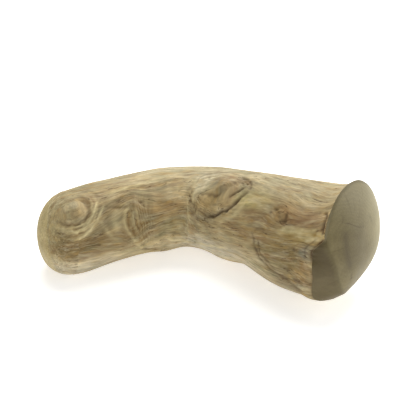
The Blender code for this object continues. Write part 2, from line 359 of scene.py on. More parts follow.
# Sanding has left the ends smoother: over these millimetres from each end, and the wide
# one by this share.
NOSE_SMOOTH = (-12, -5)
RIM_SMOOTH = 12
RIM_SMOOTHNESS = 0.7

# ---------------------------------------------------------------- colours of the wood

# Broad tones: (along, degrees), reach along, reach round in degrees, colour, weight.
USUAL_TONE = "B7A377"
TONES = [
    ((-14, 60), 5, 70, "C6B37C", 2.6),
    ((-8.5, 25), 4, 40, "83704A", 1.8),
    ((-3, 6), 13, 15, "6C5019", 4.2),
    ((18, 2), 12, 16, "8A6E42", 1.6),
    # Pale grey under the narrow end's front: painted light from the floor below.
    ((-4, -42), 20, 20, "D0C7AE", 3.6),
    ((-3, 66), 5, 14, "A3976F", 2.2),
    ((1, 57), 5, 15, "B89F70", 3.0),
    ((12.5, 37), 3.5, 12, "75664A", 2.2),
    ((19.5, 26), 3, 13, "B5A980", 1.6),
    ((24.5, 42), 3, 7, "B99C5E", 1.6),
    ((30, 16), 7, 22, "6C4C12", 3.6),
    ((24, 72), 22, 16, "8B744A", 2.2),
    ((10, 100), 22, 22, "A4936B", 2.4),
    ((50, 32), 12, 12, "C3A26D", 2.4),
    ((50, 76), 13, 13, "A6936A", 1.8),
    ((54, 2), 14, 14, "857B55", 2.0),
    ((42, -38), 16, 15, "AFA27A", 1.4),
    ((78, 8), 16, 14, "9D8F6C", 1.6),
    # Pale grey along the lower front: painted light from the floor below.
    ((84, -30), 26, 14, "D2CCB8", 3.4),
    # A pale grey strip along the top: partly bleaching, partly painted sheen from the light
    # overhead.
    ((58, 92), 40, 24, "BBB295", 2.0),
    ((82, 66), 5, 13, "EADFBD", 6.5),
    ((93, 62), 6, 11, "9F9576", 3.2),
    ((101, 68), 4, 9, "A0825E", 2.6),
    ((98, 38), 8, 9, "C4AB78", 2.6),
    ((88, 32), 5, 8, "B0935F", 1.6),
    ((112, 20), 9, 13, "8B754B", 2.0),
    ((119, 58), 7, 12, "A99C6C", 1.6),
    ((120, 51), 7, 7, "CDBD74", 2.4),
    ((128, 78), 18, 12, "A69C7E", 1.8),
    ((132, 40), 9, 13, "735A38", 3.2),
    ((137, 43), 5, 9, "C9A066", 3.4),
    ((150, 44), 9, 11, "A0805C", 2.2),
    ((151, 27), 10, 6, "99781F", 4.8),
    ((143, 4), 14, 14, "796333", 3.2),
    ((136, 20), 6, 5, "8C7444", 1.6),
    ((156, 26), 6, 4, "B58D33", 3.0),
    ((157, 9), 4, 6, "8F8F86", 3.0),
    ((158, -3), 3, 6, "A3763F", 3.0),
    ((150, -26), 14, 10, "5C4A29", 3.4),
    # Pale grey under the wide end's front: painted light from the floor below.
    ((140, -50), 22, 14, "B8B098", 2.6),
    # More of the pale grey top: partly bleaching, partly painted sheen from the light overhead.
    ((126, 100), 45, 20, "BDB08E", 1.8),
    ((12, 166), 22, 36, "6E5E3C", 3.4),
    ((56, 172), 22, 30, "7A663F", 3.0),
    ((33, 163), 5, 12, "54401F", 3.0),
    ((84, 196), 8, 17, "574322", 3.0),
    ((112, 182), 24, 34, "6B5E3F", 3.2),
    ((126, 158), 5, 10, "5C4523", 2.6),
    ((150, 168), 16, 42, "75663F", 3.0),
    ((44, 222), 34, 28, "76653F", 2.6),
    ((120, 236), 34, 28, "756543", 2.4),
    ((-12, 200), 6, 60, "8F7C50", 2.2),
]
# Drifts of colour in the wood: colour, wavelength along and across, most, and an offset.
DRIFT_DETAIL = 3.0
DRIFT_ROUGHNESS = 0.6
DRIFTS = [
    ("83603A", 13.0, 4.2, 0.55, 3.7),
    ("7F7F5E", 16.0, 5.0, 0.50, 11.3),
    ("B48F48", 9.0, 2.6, 0.42, 17.9),
    ("D2C5A0", 11.0, 3.0, 0.50, 23.1),
]
# Dark wood, also laid in creases, pits and hollows, where it is partly painted shade; pale wood,
# also laid on crests and streaks, where it is partly painted highlight.
DARK_WOOD_AND_SHADE = "543F24"
PALE_WOOD_AND_HIGHLIGHT = "D6C796"
NOSE_FURROWS = "9A8650"
NOSE_FIBRES = "CFBD82"

# The sanded wide face.
FACE_TONE = "6C5F35"
FACE_LIGHT = "8F8259"
FACE_DARK = "4A3E14"
# Painted highlight: the back of the face is painted paler, where the light from behind on the
# right falls on its dome.
FACE_BACK_HIGHLIGHT = "ABA279"
FACE_TOP = "786E4C"
FACET_TONE = "4A3B18"
CRACK_TONE = "3E3119"
FACE_HEART = (12.0, 4.0, 0.0)  # millimetres to the front and up from the stem's middle
RING_APART = 1.9
RING_WOBBLE = 7.0

# Noise in the wood and on the face: wavelengths along and across in millimetres, how
# many finer octaves, their roughness, and an offset that keeps it apart from the others.
NOISES = {
    "cloud": (15.0, 7.0, 3.0, 0.55, 29.5),
    "streak": (12.5, 1.15, 4.0, 0.62, 7.1),
    "fibre": (6.5, 0.55, 3.0, 0.65, 1.9),
    "hairline": (16.0, 1.8, 2.0, 0.5, 5.3),
    "hairline_patch": (9.0, 4.0, 1.0, 0.5, 12.4),
    "fleck": (6.0, 0.8, 2.0, 0.6, 17.3),
    "fleck_patch": (8.0, 5.0, 2.0, 0.5, 21.7),
    "cut_fibres": (2.4, 0.55, 3.0, 0.65, 14.2),
    "face_wobble": (9.0, 9.0, 3.0, 0.5, 4.4),
    "face_blotch": (11.0, 7.0, 4.0, 0.55, 9.2),
    "face_check": (0.10, 0.10, 3.0, 0.5, 6.6),
    "face_speck": (0.7, 0.7, 3.0, 0.5, 2.2),
}

# Cracks in the wide face: points (front, up) in millimetres from the stem's middle.
FACE_CRACKS = [
    ([(13.5, 15.2), (11.5, 14.6), (8.5, 11.6), (4.0, 8.5), (1.0, 8.3)], 0.16, 0.8),
    ([(15.7, -9.6), (15.9, -11.2), (15.2, -13.0)], 0.3, 0.7),
    ([(14.6, 12.4), (15.6, 8.5), (16.6, 3.6), (16.9, -2.5), (15.4, -8.0)], 1.6, 0.42),
    ([(-4.6, 11.4), (-6.2, 8.6), (-6.6, 6.0)], 0.5, 0.28),
    ([(13.0, 19.5), (12.2, 17.4), (14.8, 15.6)], 0.35, 0.3),
]

# ---------------------------------------------------------------- floor, lights, camera

FLOOR_REACH = 6.0
FLOOR_COLOUR = "F4F4F3"
FLOOR_GLOW = 0.55
SKY_STRENGTH = 0.36
# Soft lights: name, place, what it faces, length of its side, watts, colour.
LIGHTS = [
    ("overhead", (0.0, 0.50, 0.80), (0.0, 0.02, 0.02), 0.9, 11.5, "FFFEFA"),
    ("right_back", (0.8, 0.35, 0.35), (0.03, 0.0, 0.02), 0.5, 3.0, "FFFFFF"),
]
CAMERA_TARGET = Vector((-0.00854, 0.02633, 0.022))
CAMERA_DISTANCE = 0.500
CAMERA_ELEVATION = radians(28)
CAMERA_AZIMUTH = radians(10)
CAMERA_LENS = 85.0


def linear(code):
    """Linear red, green and blue of an sRGB colour written as six hexadecimal digits."""
    parts = np.array([int(code[i:i + 2], 16) for i in (0, 2, 4)]) / 255
    return np.where(parts <= 0.04045, parts / 12.92, ((parts + 0.055) / 1.055) ** 2.4)


def rgba(code):
    """A colour as a socket takes it."""
    return (*linear(code), 1.0)


# ================================================================ the CAD's own form


def smooth_step(value, start, end):
    """0 before start, 1 after end, and an S-shaped rise between them."""
    share = np.clip((value - start) / (end - start), 0, 1)
    return share * share * (3 - 2 * share)


def turned_from(around, angle):
    """The turn from an angle, between minus and plus half a circle."""
    return (around - angle + pi) % (2 * pi) - pi


def b_spline(values, steps):
    """A uniform cubic B-spline that follows the values and holds its two ends."""
    held = np.vstack([2 * values[0] - values[1], values, 2 * values[-1] - values[-2]])
    first = np.clip(np.floor(steps).astype(int), 0, len(values) - 2)
    f = (steps - first)[:, None]
    return (
        (1 - f) ** 3 * held[first]
        + (3 * f**3 - 6 * f**2 + 4) * held[first + 1]
        + (1 + 3 * f + 3 * f**2 - 3 * f**3) * held[first + 2]
        + f**3 * held[first + 3]
    ) / 6


STEM = b_spline(STATIONS, np.linspace(0, len(STATIONS) - 1, 2000))
STEM_STEPS = np.linalg.norm(np.diff(STEM[:, :3], axis=0), axis=1)
STEM_ALONG = np.concatenate([[0], np.cumsum(STEM_STEPS)])
LENGTH = STEM_ALONG[-1]


def stem_at(along):
    """The stem's middle and half sizes, running straight on past both ends."""
    found = np.stack([np.interp(along, STEM_ALONG, column) for column in STEM.T], axis=-1)
    start = (STEM[1, :3] - STEM[0, :3]) / STEM_ALONG[1]
    end = (STEM[-1, :3] - STEM[-2, :3]) / (LENGTH - STEM_ALONG[-2])
    found[..., :3] += np.minimum(along, 0)[..., None] * start
    found[..., :3] += np.maximum(along - LENGTH, 0)[..., None] * end
    return found


def section_axes(along):
    """Unit vectors at a place on the stem: onwards, to the front, and up."""
    onwards = stem_at(along + 1)[..., :3] - stem_at(along - 1)[..., :3]
    onwards /= np.linalg.norm(onwards, axis=-1, keepdims=True)
    front = np.cross(onwards, (0, 0, 1))
    front /= np.linalg.norm(front, axis=-1, keepdims=True)
    return onwards, front, np.cross(front, onwards)


def stub(along, around):
    """A plateau that rises slowly from one side and drops at its lip into a crease."""
    dx = along - STUB_AT[0]
    dy = turned_from(around, STUB_AT[1]) * USUAL_RADIUS
    lengthways = dx * cos(STUB_LEAN) + dy * sin(STUB_LEAN)
    crossways = dx * sin(STUB_LEAN) - dy * cos(STUB_LEAN)
    within = np.exp(-np.abs(lengthways / STUB_HALF_LONG) ** 3.5)
    rise = smooth_step(crossways, -1.5 * STUB_HALF_WIDE, 0.5 * STUB_HALF_WIDE)
    drop = 1 - smooth_step(crossways, 0.85 * STUB_HALF_WIDE, 1.1 * STUB_HALF_WIDE)
    return within * STUB_HEIGHT * rise * drop


def from_burl(along, around):
    """Steps from the burl's middle in half breadths: along the stem, and round it."""
    dx = (along - BURL_AT[0]) / BURL_HALF_LONG
    dy = turned_from(around, BURL_AT[1]) * USUAL_RADIUS / BURL_HALF_WIDE
    return dx, dy


def burl(along, around):
    """A rounded bump with a ridge round it, strongest below and away from the end."""
    dx, dy = from_burl(along, around)
    distance = np.hypot(dx, dy)
    bump = np.exp(-((distance / 0.62) ** 3))
    ridge = np.exp(-(((distance - 1.25) / 0.22) ** 2))
    side = 0.35 + 0.65 * np.clip(np.cos(np.arctan2(dy, dx) + radians(40)), 0, 1)
    return BURL_HEIGHT * bump + BURL_RIDGE * ridge * side


def folds(along, around):
    """Bowed ridges across the inside of the bend, fading out above and below."""
    turn = turned_from(around, FOLDS_AROUND)
    bow = FOLDS_BOW * (turn / radians(60)) ** 2
    ridges = sum(
        height * np.exp(-(((along - place - bow) / breadth) ** 2))
        for place, height, breadth in FOLDS
    )
    return ridges * np.exp(-np.abs(turn / FOLDS_REACH) ** 3)


def side_root(along, around):
    """A long swelling that rises from a blunt tip and keeps growing to the rim."""
    turn = turned_from(around, SIDE_ROOT_AROUND)
    tip = SIDE_ROOT_START + 6 * turn / radians(60)
    rise = smooth_step(along, tip, tip + SIDE_ROOT_RISE)
    growth = 0.55 + 0.45 * smooth_step(along, tip, LENGTH)
    return SIDE_ROOT_HEIGHT * rise * growth * np.exp(-np.abs(turn / SIDE_ROOT_REACH) ** 2.6)


def flare(along, around):
    """The outward curl of the wide end's rim."""
    top = 0.15 + 0.85 * np.clip(np.cos(turned_from(around, radians(95))), 0, 1)
    return FLARE_HEIGHT * top * np.exp((along - LENGTH) / FLARE_LENGTH)


def swellings(along, around):
    """The sum of the gentle rounded rises and hollows."""
    total = 0
    for (place, degrees), height, long, wide in SWELLINGS:
        across = turned_from(around, radians(degrees)) * USUAL_RADIUS
        total = total + height * np.exp(-(((along - place) / long) ** 2) - (across / wide) ** 2)
    return total


# ================================================================ grain and marks


def lattice_noise(points, seed):
    """Smooth noise from about -1 to 1.  Each corner of the unit cell round a point has a
    random slope; the eight ramps they give are blended with an S-shaped weight."""
    random = np.random.RandomState(seed)
    table = random.permutation(256)
    slopes = random.normal(size=(256, 3))
    slopes /= np.linalg.norm(slopes, axis=1, keepdims=True)
    cell = np.floor(points).astype(int)
    inside = points - cell
    fade = inside**3 * (inside * (inside * 6 - 15) + 10)
    total = 0
    for corner in itertools.product((0, 1), repeat=3):
        x, y, z = np.moveaxis((cell + corner) & 255, -1, 0)
        slope = slopes[table[(table[(table[x] + y) & 255] + z) & 255]]
        ramp = ((inside - corner) * slope).sum(axis=-1)
        total = total + ramp * np.prod(np.where(corner, fade, 1 - fade), axis=-1)
    return 1.6 * total


def grain(along, around, share=1.0):
    """Place in the grain, in millimetres: how far along a fibre, and which fibre.
    Round each knot the fibres part as a stream parts round a stone: what lies across is
    shifted by its own distance over the square of the distance from the knot."""
    along = along + np.zeros_like(around)
    across_shift = GRAIN_WANDER * lattice_noise(np.stack([
        along / GRAIN_WANDER_LONG,
        USUAL_RADIUS * np.cos(around) / GRAIN_WANDER_WIDE + 0 * along,
        USUAL_RADIUS * np.sin(around) / GRAIN_WANDER_WIDE + 0 * along,
    ], axis=-1), GRAIN_WANDER_SEED)
    along_shift = np.zeros_like(across_shift)
    for (place, degrees), half_long, half_wide, lean, softness in KNOTS:
        dx = along - place
        dy = turned_from(around, radians(degrees)) * USUAL_RADIUS
        lengthways = dx * cos(lean) + dy * sin(lean)
        crossways = -dx * sin(lean) + dy * cos(lean)
        squared = (lengthways / half_long) ** 2 + (crossways / half_wide) ** 2
        nearness = np.exp(-((dy / KNOT_REACH) ** 4)) / (squared + softness)
        across_shift -= dy * nearness
        along_shift += dx * nearness
    angle = around + across_shift / USUAL_RADIUS
    return np.stack([
        along + along_shift,
        share * USUAL_RADIUS * np.cos(angle),
        share * USUAL_RADIUS * np.sin(angle),
    ], axis=-1)


def distance_to_path(along, around, points):
    """Millimetres to a smooth line through points (along, degrees), and the share of the
    line's length at which it is nearest."""
    line = b_spline(np.array(points, float), np.linspace(0, len(points) - 1, 8 * len(points)))
    line[:, 1] = np.radians(line[:, 1]) * USUAL_RADIUS
    middle = line[:, 1].mean() / USUAL_RADIUS
    place = np.stack([
        along + 0 * around,
        (turned_from(around, middle) + middle) * USUAL_RADIUS + 0 * along,
    ], axis=-1)
    return distance_to_line(place, line)


def distance_to_line(place, line):
    """Distance from places to a line of short straight pieces, and the share of the
    line's length at which it is nearest."""
    nearest = np.full(place.shape[:-1], np.inf)
    share = np.zeros(place.shape[:-1])
    pieces = len(line) - 1
    for number, (start, end) in enumerate(zip(line, line[1:])):
        step = end - start
        t = np.clip(((place - start) @ step) / (step @ step), 0, 1)
        apart = np.linalg.norm(place - start - t[..., None] * step, axis=-1)
        closer = apart < nearest
        nearest = np.where(closer, apart, nearest)
        share = np.where(closer, (number + t) / pieces, share)
    return nearest, share


def tapered(share):
    """1 along most of a line, falling to 0 at both its ends."""
    return np.clip(6 * share, 0, 1) ** 0.7 * np.clip(6 * (1 - share), 0, 1) ** 0.7


def layered_noise(fibre, layers):
    """A sum of noises, each with one wavelength along the grain and another across."""
    return sum(
        size * lattice_noise(fibre / (long, wide, wide), seed)
        for long, wide, size, seed in layers
    )


def marks(along, around, fibre):
    """Depth of the creases and pits, height of the pale streaks, how dark and how pale."""
    wander, sway = layered_noise(fibre, WANDER), layered_noise(fibre, SWAY)
    patchy = 1 + layered_noise(fibre, PATCHES)
    # Every mark is drawn where a shaky hand would put it.
    along = along + MARK_SWAY * sway + MARK_WANDER * wander
    around = around + MARK_SHAKE * layered_noise(fibre, SHAKE) / USUAL_RADIUS
    depth, height, dark, pale = (np.zeros_like(wander) for _ in range(4))
    for points, deep, half, darkness in CREASES.values():
        distance, share = distance_to_path(along, around, points)
        distance = np.abs(distance + RAGGED * half * wander)
        cut = tapered(share) * patchy**0.4 * np.exp(-((distance / half) ** 2))
        # The darkening beside a crease is partly a brown stain, partly painted shade.
        stain = tapered(share) * patchy * np.exp(-((distance / (STAIN_AND_SHADE_SPREAD * half)) ** 2))
        depth = np.maximum(depth, deep * cut)
        dark = np.maximum(dark, darkness * stain)
    for (place, degrees), deep, radius_of_pit in PITS:
        dx = along - place
        dy = turned_from(around, radians(degrees)) * USUAL_RADIUS
        distance = np.hypot(dx / PIT_LENGTH, dy) / radius_of_pit + RAGGED * wander
        cut = np.exp(-(np.abs(distance) ** 2.5))
        depth = np.maximum(depth, deep * cut)
        # A pit is darkened as deep as it is cut: partly stain, partly painted shade.
        dark = np.maximum(dark, PIT_DARKNESS * cut)
    for points, high, half in STREAKS.values():
        distance, share = distance_to_path(along, around, points)
        distance = np.abs(distance + STREAK_RAGGED * half * wander)
        rise = tapered(share) * patchy * np.exp(-((distance / half) ** 2))
        height = np.maximum(height, high * rise)
        # Paler the higher the streak: partly wear, partly painted highlight.
        pale = np.maximum(pale, STREAK_PALENESS * high * rise)
    ring = burl_rings(along, around, wander, sway)
    ripple = ripples(along, around, sway, patchy)
    height = height + BURL_RING_HEIGHT * ring + RIPPLE_HEIGHT * ripple
    # Crests of the rings and ripples are painted paler and their hollows darker: partly the
    # fibres' own colour, partly painted highlight and shade.
    crests = BURL_RING_PALENESS * np.clip(ring, 0, 1) + RIPPLE_PALENESS * np.clip(ripple, 0, 1)
    hollows = BURL_RING_DARKNESS * np.clip(-ring, 0, 1) + RIPPLE_DARKNESS * np.clip(-ripple, 0, 1)
    return depth, height, np.maximum(dark, hollows), np.maximum(pale, crests)


def burl_rings(along, around, wander, sway):
    """Waves round the burl from below it to its far side, dying away outwards."""
    dx, dy = from_burl(along, around)
    angle = np.arctan2(dy, dx)
    # The waves lie wider apart above the burl, where they run on along the stem.
    distance = np.hypot(dx, dy) * (1 - 0.16 * np.sin(angle + radians(20)))
    distance = distance + 0.07 * wander + 0.16 * sway
    side = np.clip(np.cos((angle + radians(60)) * 0.8), 0, 1)
    fade_from, fade_over = BURL_RINGS_FADE
    fading = np.exp(-((np.maximum(distance - fade_from, 0) / fade_over) ** 2))
    inside = smooth_step(distance, *BURL_RINGS_START) * fading
    return side * inside * np.sin(2 * pi * (distance - 1.0) / BURL_RING_APART)


def ripples(along, around, sway, patchy):
    """Fine waves across the grain, bowed as the folds are, inside an oval."""
    turn = turned_from(around, RIPPLES_AT[1])
    bow = FOLDS_BOW * (turned_from(around, FOLDS_AROUND) / radians(60)) ** 2
    across = turn * USUAL_RADIUS / RIPPLES_HALF_WIDE
    inside = np.exp(-(((along - RIPPLES_AT[0]) / RIPPLES_HALF_LONG) ** 4) - across**4)
    return inside * patchy * np.sin(2 * pi * ((along - bow) / RIPPLE_LENGTH + 0.9 * sway))


def torn_lip(along, around):
    """Torn fibres proud of the rim: a step down at the notch, fading out upwards."""
    degrees = np.degrees(turned_from(around, 0))
    reach = smooth_step(degrees, *LIP_STARTS) * (1 - smooth_step(degrees, *LIP_FADES))
    return LIP_HEIGHT * reach * np.exp((along - LENGTH) / LIP_LENGTH)


def grain_relief(fibre):
    """Ridges and furrows that follow the fibres, coarse to fine."""
    return sum(
        height * lattice_noise(fibre / (long, wide, wide) + seed, seed)
        for long, wide, height, seed in GRAIN_RELIEF
    )


def radius(along, around, share=1.0, carved=True):
    """Distance from the stem's middle to its surface: an ellipse and its relief."""
    half_width, half_height = stem_at(along)[..., 3], stem_at(along)[..., 4]
    ellipse = 1 / np.hypot(np.cos(around) / half_width, np.sin(around) / half_height)
    relief = (stub, burl, folds, side_root, flare, swellings)
    out = ellipse + sum(shape(along, around) for shape in relief)
    if not carved:
        return out
    fibre = grain(along, around, share)
    depth, height = marks(along, around, fibre)[:2]
    near_rim = smooth_step(along, LENGTH - RIM_SMOOTH, LENGTH)
    rough = smooth_step(along, *NOSE_SMOOTH) * (1 - RIM_SMOOTHNESS * near_rim)
    return out + rough * grain_relief(fibre) + torn_lip(along, around) + height - depth


def wide_dome(share, around, rim):
    """Height of the wide end's sanded dome."""
    to_front, up = share * rim * np.cos(around), share * rim * np.sin(around)
    return WIDE_DOME * (1 - share**WIDE_ROUNDING) + WIDE_LEAN[0] * to_front + WIDE_LEAN[1] * up


def wide_rim(around, rim):
    """Height of the wide end's rim: the dome's edge, set back where a slanting facet
    cuts it, from a step at the front to its lower side."""
    degrees = np.degrees(turned_from(around, 0))
    step = (1 - smooth_step(degrees, *FACET_TOP)) * smooth_step(degrees, *FACET_BOTTOM)
    slanting = WIDE_FACET_FROM - rim * np.cos(around - WIDE_FACET_TOWARDS)
    return np.minimum(
        wide_dome(1.0, around, rim) - FACET_STEP * step, WIDE_FACET_SLOPE * slanting
    )


def facet_line(around):
    """Where the facet meets the dome, as a share of the distance to the rim."""
    degrees = np.degrees(turned_from(around, 0))
    narrowing = 1 - smooth_step(degrees, *FACET_NARROWS)
    breadth = FACET_BREADTH * narrowing * smooth_step(degrees, *FACET_BOTTOM)
    return 1 - np.maximum(breadth, NO_BREADTH)


def wide_end(share, around, rim):
    """Height of the wide end's face: its dome, and the facet between the dome and rim."""
    line = facet_line(around)
    at_line = wide_dome(line, around, rim)
    down = np.clip((share - line) / (1 - line), 0, 1)
    facet = at_line + (wide_rim(around, rim) - at_line) * down
    return np.where(share > line, facet, wide_dome(share, around, rim))


def narrow_end(share, around, rim):
    """Height of the narrow end's rounded nose."""
    nose = NARROW_DOME * np.sqrt(np.clip(1 - share**NARROW_ROUNDING, 0, 1))
    to_front, up = share * rim * np.cos(around), share * rim * np.sin(around)
    return nose + NARROW_LEAN[0] * to_front + NARROW_LEAN[1] * up


# ================================================================ the surface


def side_rows(around):
    """Rows up the stem's side; the last ones tilt to meet the rims of both ends."""
    along = np.linspace(0, LENGTH, SIDE_ROWS)[:, None] + 0 * around
    out = radius(along, around)
    plain = radius(along, around, carved=False)
    at_wide_rim = wide_rim(around[0], plain[-1])
    at_narrow_rim = narrow_end(1.0, around[0], plain[0])
    tilted = (
        along
        + at_wide_rim * smooth_step(along, LENGTH - LEAN_SPREAD, LENGTH)
        - at_narrow_rim * (1 - smooth_step(along, 0, LEAN_SPREAD))
    )
    _, front, top = section_axes(along)
    places = (
        stem_at(tilted)[..., :3]
        + front * (out * np.cos(around))[..., None]
        + top * (out * np.sin(around))[..., None]
    )
    return places, along, np.ones_like(along)


def end_share(rows):
    """Distance from the middle of an end, as a share of its rim's, row by row inwards."""
    return np.sin(np.linspace(pi / 2, 0, rows + 1)[1:-1, None]) ** END_ROW_CROWDING


def end_rows(rows, place, onward_sign, around):
    """Rows over one end, from just inside its rim to just short of its middle."""
    share = end_share(rows)
    along = place + 0 * (share + around)
    plain = radius(along, around, carved=False)
    if onward_sign > 0:
        out_by = wide_end(share, around, plain)
        # The outline follows the carved rim; further in, the face is even.
        outline = smooth_step(share, RIM_OUTLINE_FROM, 1.0)
        out = share * (plain + outline * (radius(along, around) - plain))
    else:
        out_by = -narrow_end(share, around, plain)
        out = share * radius(along + out_by, around, share)
    onwards, front, top = section_axes(along)
    places = (
        stem_at(along)[..., :3]
        + onwards * out_by[..., None]
        + front * (out * np.cos(around))[..., None]
        + top * (out * np.sin(around))[..., None]
    )
    return places, along + out_by, share + 0 * around


def root_surface():
    """Every row of the root's surface, from its narrow tip to its wide face: places,
    millimetres along, share of the rim's distance, and which part a row belongs to."""
    around = np.linspace(0, 2 * pi, ROUND, endpoint=False)[None]
    nose = [part[::-1] for part in end_rows(NOSE_ROWS, 0.0, -1, around)]
    side = side_rows(around)
    face = end_rows(FACE_ROWS, LENGTH, 1, around)
    places, along, share = (np.concatenate(parts) for parts in zip(nose, side, face))
    part_of = np.repeat([NOSE, SIDE, FACE], [len(nose[0]), len(side[0]), len(face[0])])
    return places, along, share, part_of, around


def with_poles(rows):
    """A value per grid point as one flat list, with the two ends' middles added last."""
    flat = rows.reshape(-1, *rows.shape[2:])
    return np.concatenate([flat, [rows[0].mean(axis=0)], [rows[-1].mean(axis=0)]])


def grid_faces(rows, columns):
    """Quads between neighbouring rows, and fans that close both ends."""
    row, column = np.meshgrid(np.arange(rows - 1), np.arange(columns), indexing="ij")
    following = (column + 1) % columns
    quads = np.stack([
        row * columns + column,
        row * columns + following,
        (row + 1) * columns + following,
        (row + 1) * columns + column,
    ], axis=-1).reshape(-1, 4)
    column = np.arange(columns)
    following = (column + 1) % columns
    first, last = rows * columns, rows * columns + 1
    start = np.stack([following, column, np.full(columns, first)], axis=-1)
    base = (rows - 1) * columns
    end = np.stack([base + column, base + following, np.full(columns, last)], axis=-1)
    return quads, start, end


def fitted(places):
    """The places in metres, moved and stretched by a hair so that their box is the CAD's;
    what would lie below the ground is ground flat at z = 0."""
    low, high = (np.array(corner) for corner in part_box(NODE))
    places = places * MM
    lowest, highest = places.min(axis=0), places.max(axis=0)
    scale = (high - low) / (highest - lowest)
    scale[2] = high[2] / highest[2]
    origin = np.array([lowest[0], lowest[1], 0.0])
    moved = (places - origin) * scale + (low[0], low[1], 0.0)
    moved[:, 2] = np.maximum(moved[:, 2], 0.0)
    return moved


def broad_tone(along, around):
    """Colour of the wood before its grain: a weighted mean of the usual tone and of the
    tones near by, each weight falling off as a bell.  Some tones are painted light: the
    pale grey along the top is partly bleaching and partly painted sheen, and the pale grey
    along the lower front is painted light from the floor."""
    total = np.ones_like(along + around)
    summed = total[..., None] * linear(USUAL_TONE)
    for (place, degrees), long, wide, code, weight in TONES:
        turn = np.degrees(turned_from(around, radians(degrees)))
        near = weight * np.exp(-(((along - place) / long) ** 2) - (turn / wide) ** 2)
        total = total + near
        summed = summed + near[..., None] * linear(code)
    return summed / total[..., None]


def add_attribute(data, name, kind, values):
    """A value per vertex that the materials can read."""
    field = {"FLOAT": "value", "FLOAT_VECTOR": "vector", "FLOAT_COLOR": "color"}[kind]
    made = data.attributes.new(name, kind, "POINT")
    made.data.foreach_set(field, np.ascontiguousarray(values, np.float32).ravel())


def face_marks(to_front, up):
    """How dark each place of the wide face is with its cracks and the old heart's stain:
    every one a bell across a smooth line."""
    place = np.stack([to_front, up], axis=-1)
    dark = np.zeros_like(to_front)
    for points, half, darkness in FACE_CRACKS:
        steps = np.linspace(0, len(points) - 1, 6 * len(points))
        distance, share = distance_to_line(place, b_spline(np.array(points, float), steps))
        dark = np.maximum(dark, darkness * tapered(share) * np.exp(-((distance / half) ** 2)))
    return dark


def bell(value, middle, half):
    """1 at the middle, falling off as a bell on both sides."""
    return np.exp(-(((value - middle) / half) ** 2))


def surface_values(places, along, share, part_of, around):
    """What the materials read at each place of the surface: name, kind and values."""
    angle = around + np.zeros_like(along)
    fibre = grain(along, angle, share)
    dark, pale = marks(along, angle, fibre)[2:]
    held = np.minimum(along, LENGTH)
    relief = radius(held, angle, share) - radius(held, angle, carved=False)
    tone = broad_tone(along, angle)

    rim = radius(LENGTH + 0 * around, around, carved=False) + 0 * along
    to_front, up = share * rim * np.cos(angle), share * rim * np.sin(angle)
    past_line = (share - facet_line(angle)) * rim
    is_face = (part_of == FACE)[:, None]

    past_plane = NOSE_PLANE_AT - places @ NOSE_PLANE
    sanded = (part_of == NOSE)[:, None] * smooth_step(past_plane, *SOFT_NOSE)
    nose_line = bell(past_plane, *NOSE_EDGE) * (along < NOSE_EDGE_TO)
    at_front = smooth_step(np.cos(angle), -0.2, 0.5)
    dark = np.maximum(dark, NOSE_EDGE_DARKNESS * nose_line * at_front)
    return [
        ("grain", "FLOAT_VECTOR", fibre),
        ("tone", "FLOAT_COLOR", np.concatenate([tone, np.ones_like(tone[..., :1])], axis=-1)),
        ("dark", "FLOAT", dark),
        ("pale", "FLOAT", pale),
        ("relief", "FLOAT", relief),
        ("face_place", "FLOAT_VECTOR", np.stack([to_front, up, 0 * up], axis=-1)),
        ("face_stain", "FLOAT", face_marks(to_front, up) * is_face),
        ("facet", "FLOAT", smooth_step(past_line, *SOFT_FACET) * is_face),
        ("facet_edge", "FLOAT", bell(past_line, *FACET_EDGE) * is_face),
        ("sanded", "FLOAT", sanded),
    ]


def root_mesh():
    """The whole root as one closed mesh, with what its materials read at each vertex."""
    places, along, share, part_of, around = root_surface()
    vertices = fitted(with_poles(places))
    quads, start, end = grid_faces(len(places), ROUND)
    faces = quads.tolist() + start.tolist() + end.tolist()
    data = bpy.data.meshes.new(NODE)
    data.from_pydata(vertices.tolist(), [], faces)

    # The faces are turned round if the first fan looks into the wood.
    a, b, c = (vertices[start[:, corner]] for corner in range(3))
    outwards = vertices[start[0, 2]] - vertices[len(places) * ROUND // 2]
    if np.cross(b - a, c - a).sum(axis=0) @ outwards < 0:
        data.flip_normals()

    for name, kind, values in surface_values(places, along, share, part_of, around):
        add_attribute(data, name, kind, with_poles(values))

    slot = np.zeros(len(faces), np.int32)
    slot[: len(quads)] = np.repeat(part_of[:-1] == FACE, ROUND)
    slot[-ROUND:] = 1
    data.materials.append(weathered_wood())
    data.materials.append(sanded_end())
    data.polygons.foreach_set("material_index", slot)
    data.shade_smooth()
    data.update()
    return data


# ================================================================ materials


def add_node(tree, kind, settings=None, inputs=None):
    """A new node.  Settings are its properties; inputs give each socket, by name or by
    number, a value or another node's output to link."""
    made = tree.nodes.new(kind)
    for name, value in (settings or {}).items():
        setattr(made, name, value)
    for name, value in (inputs or {}).items():
        if isinstance(value, bpy.types.NodeSocket):
            tree.links.new(value, made.inputs[name])
        else:
            made.inputs[name].default_value = value
    return made


def attribute(tree, name, output):
    """One of the mesh's own values."""
    made = add_node(tree, "ShaderNodeAttribute", {"attribute_name": name})
    return made.outputs[output]


def stretched_noise(tree, place, along, across, detail, rough, offset):
    """Noise with one wavelength along the grain and another across, in millimetres."""
    scaled = add_node(tree, "ShaderNodeVectorMath", {"operation": "MULTIPLY_ADD"}, {
        0: place, 1: (1 / along, 1 / across, 1 / across), 2: (offset, offset, offset),
    })
    noise = add_node(tree, "ShaderNodeTexNoise", inputs={
        "Vector": scaled.outputs[0], "Scale": 1.0, "Detail": detail, "Roughness": rough,
    })
    return noise.outputs["Fac"]


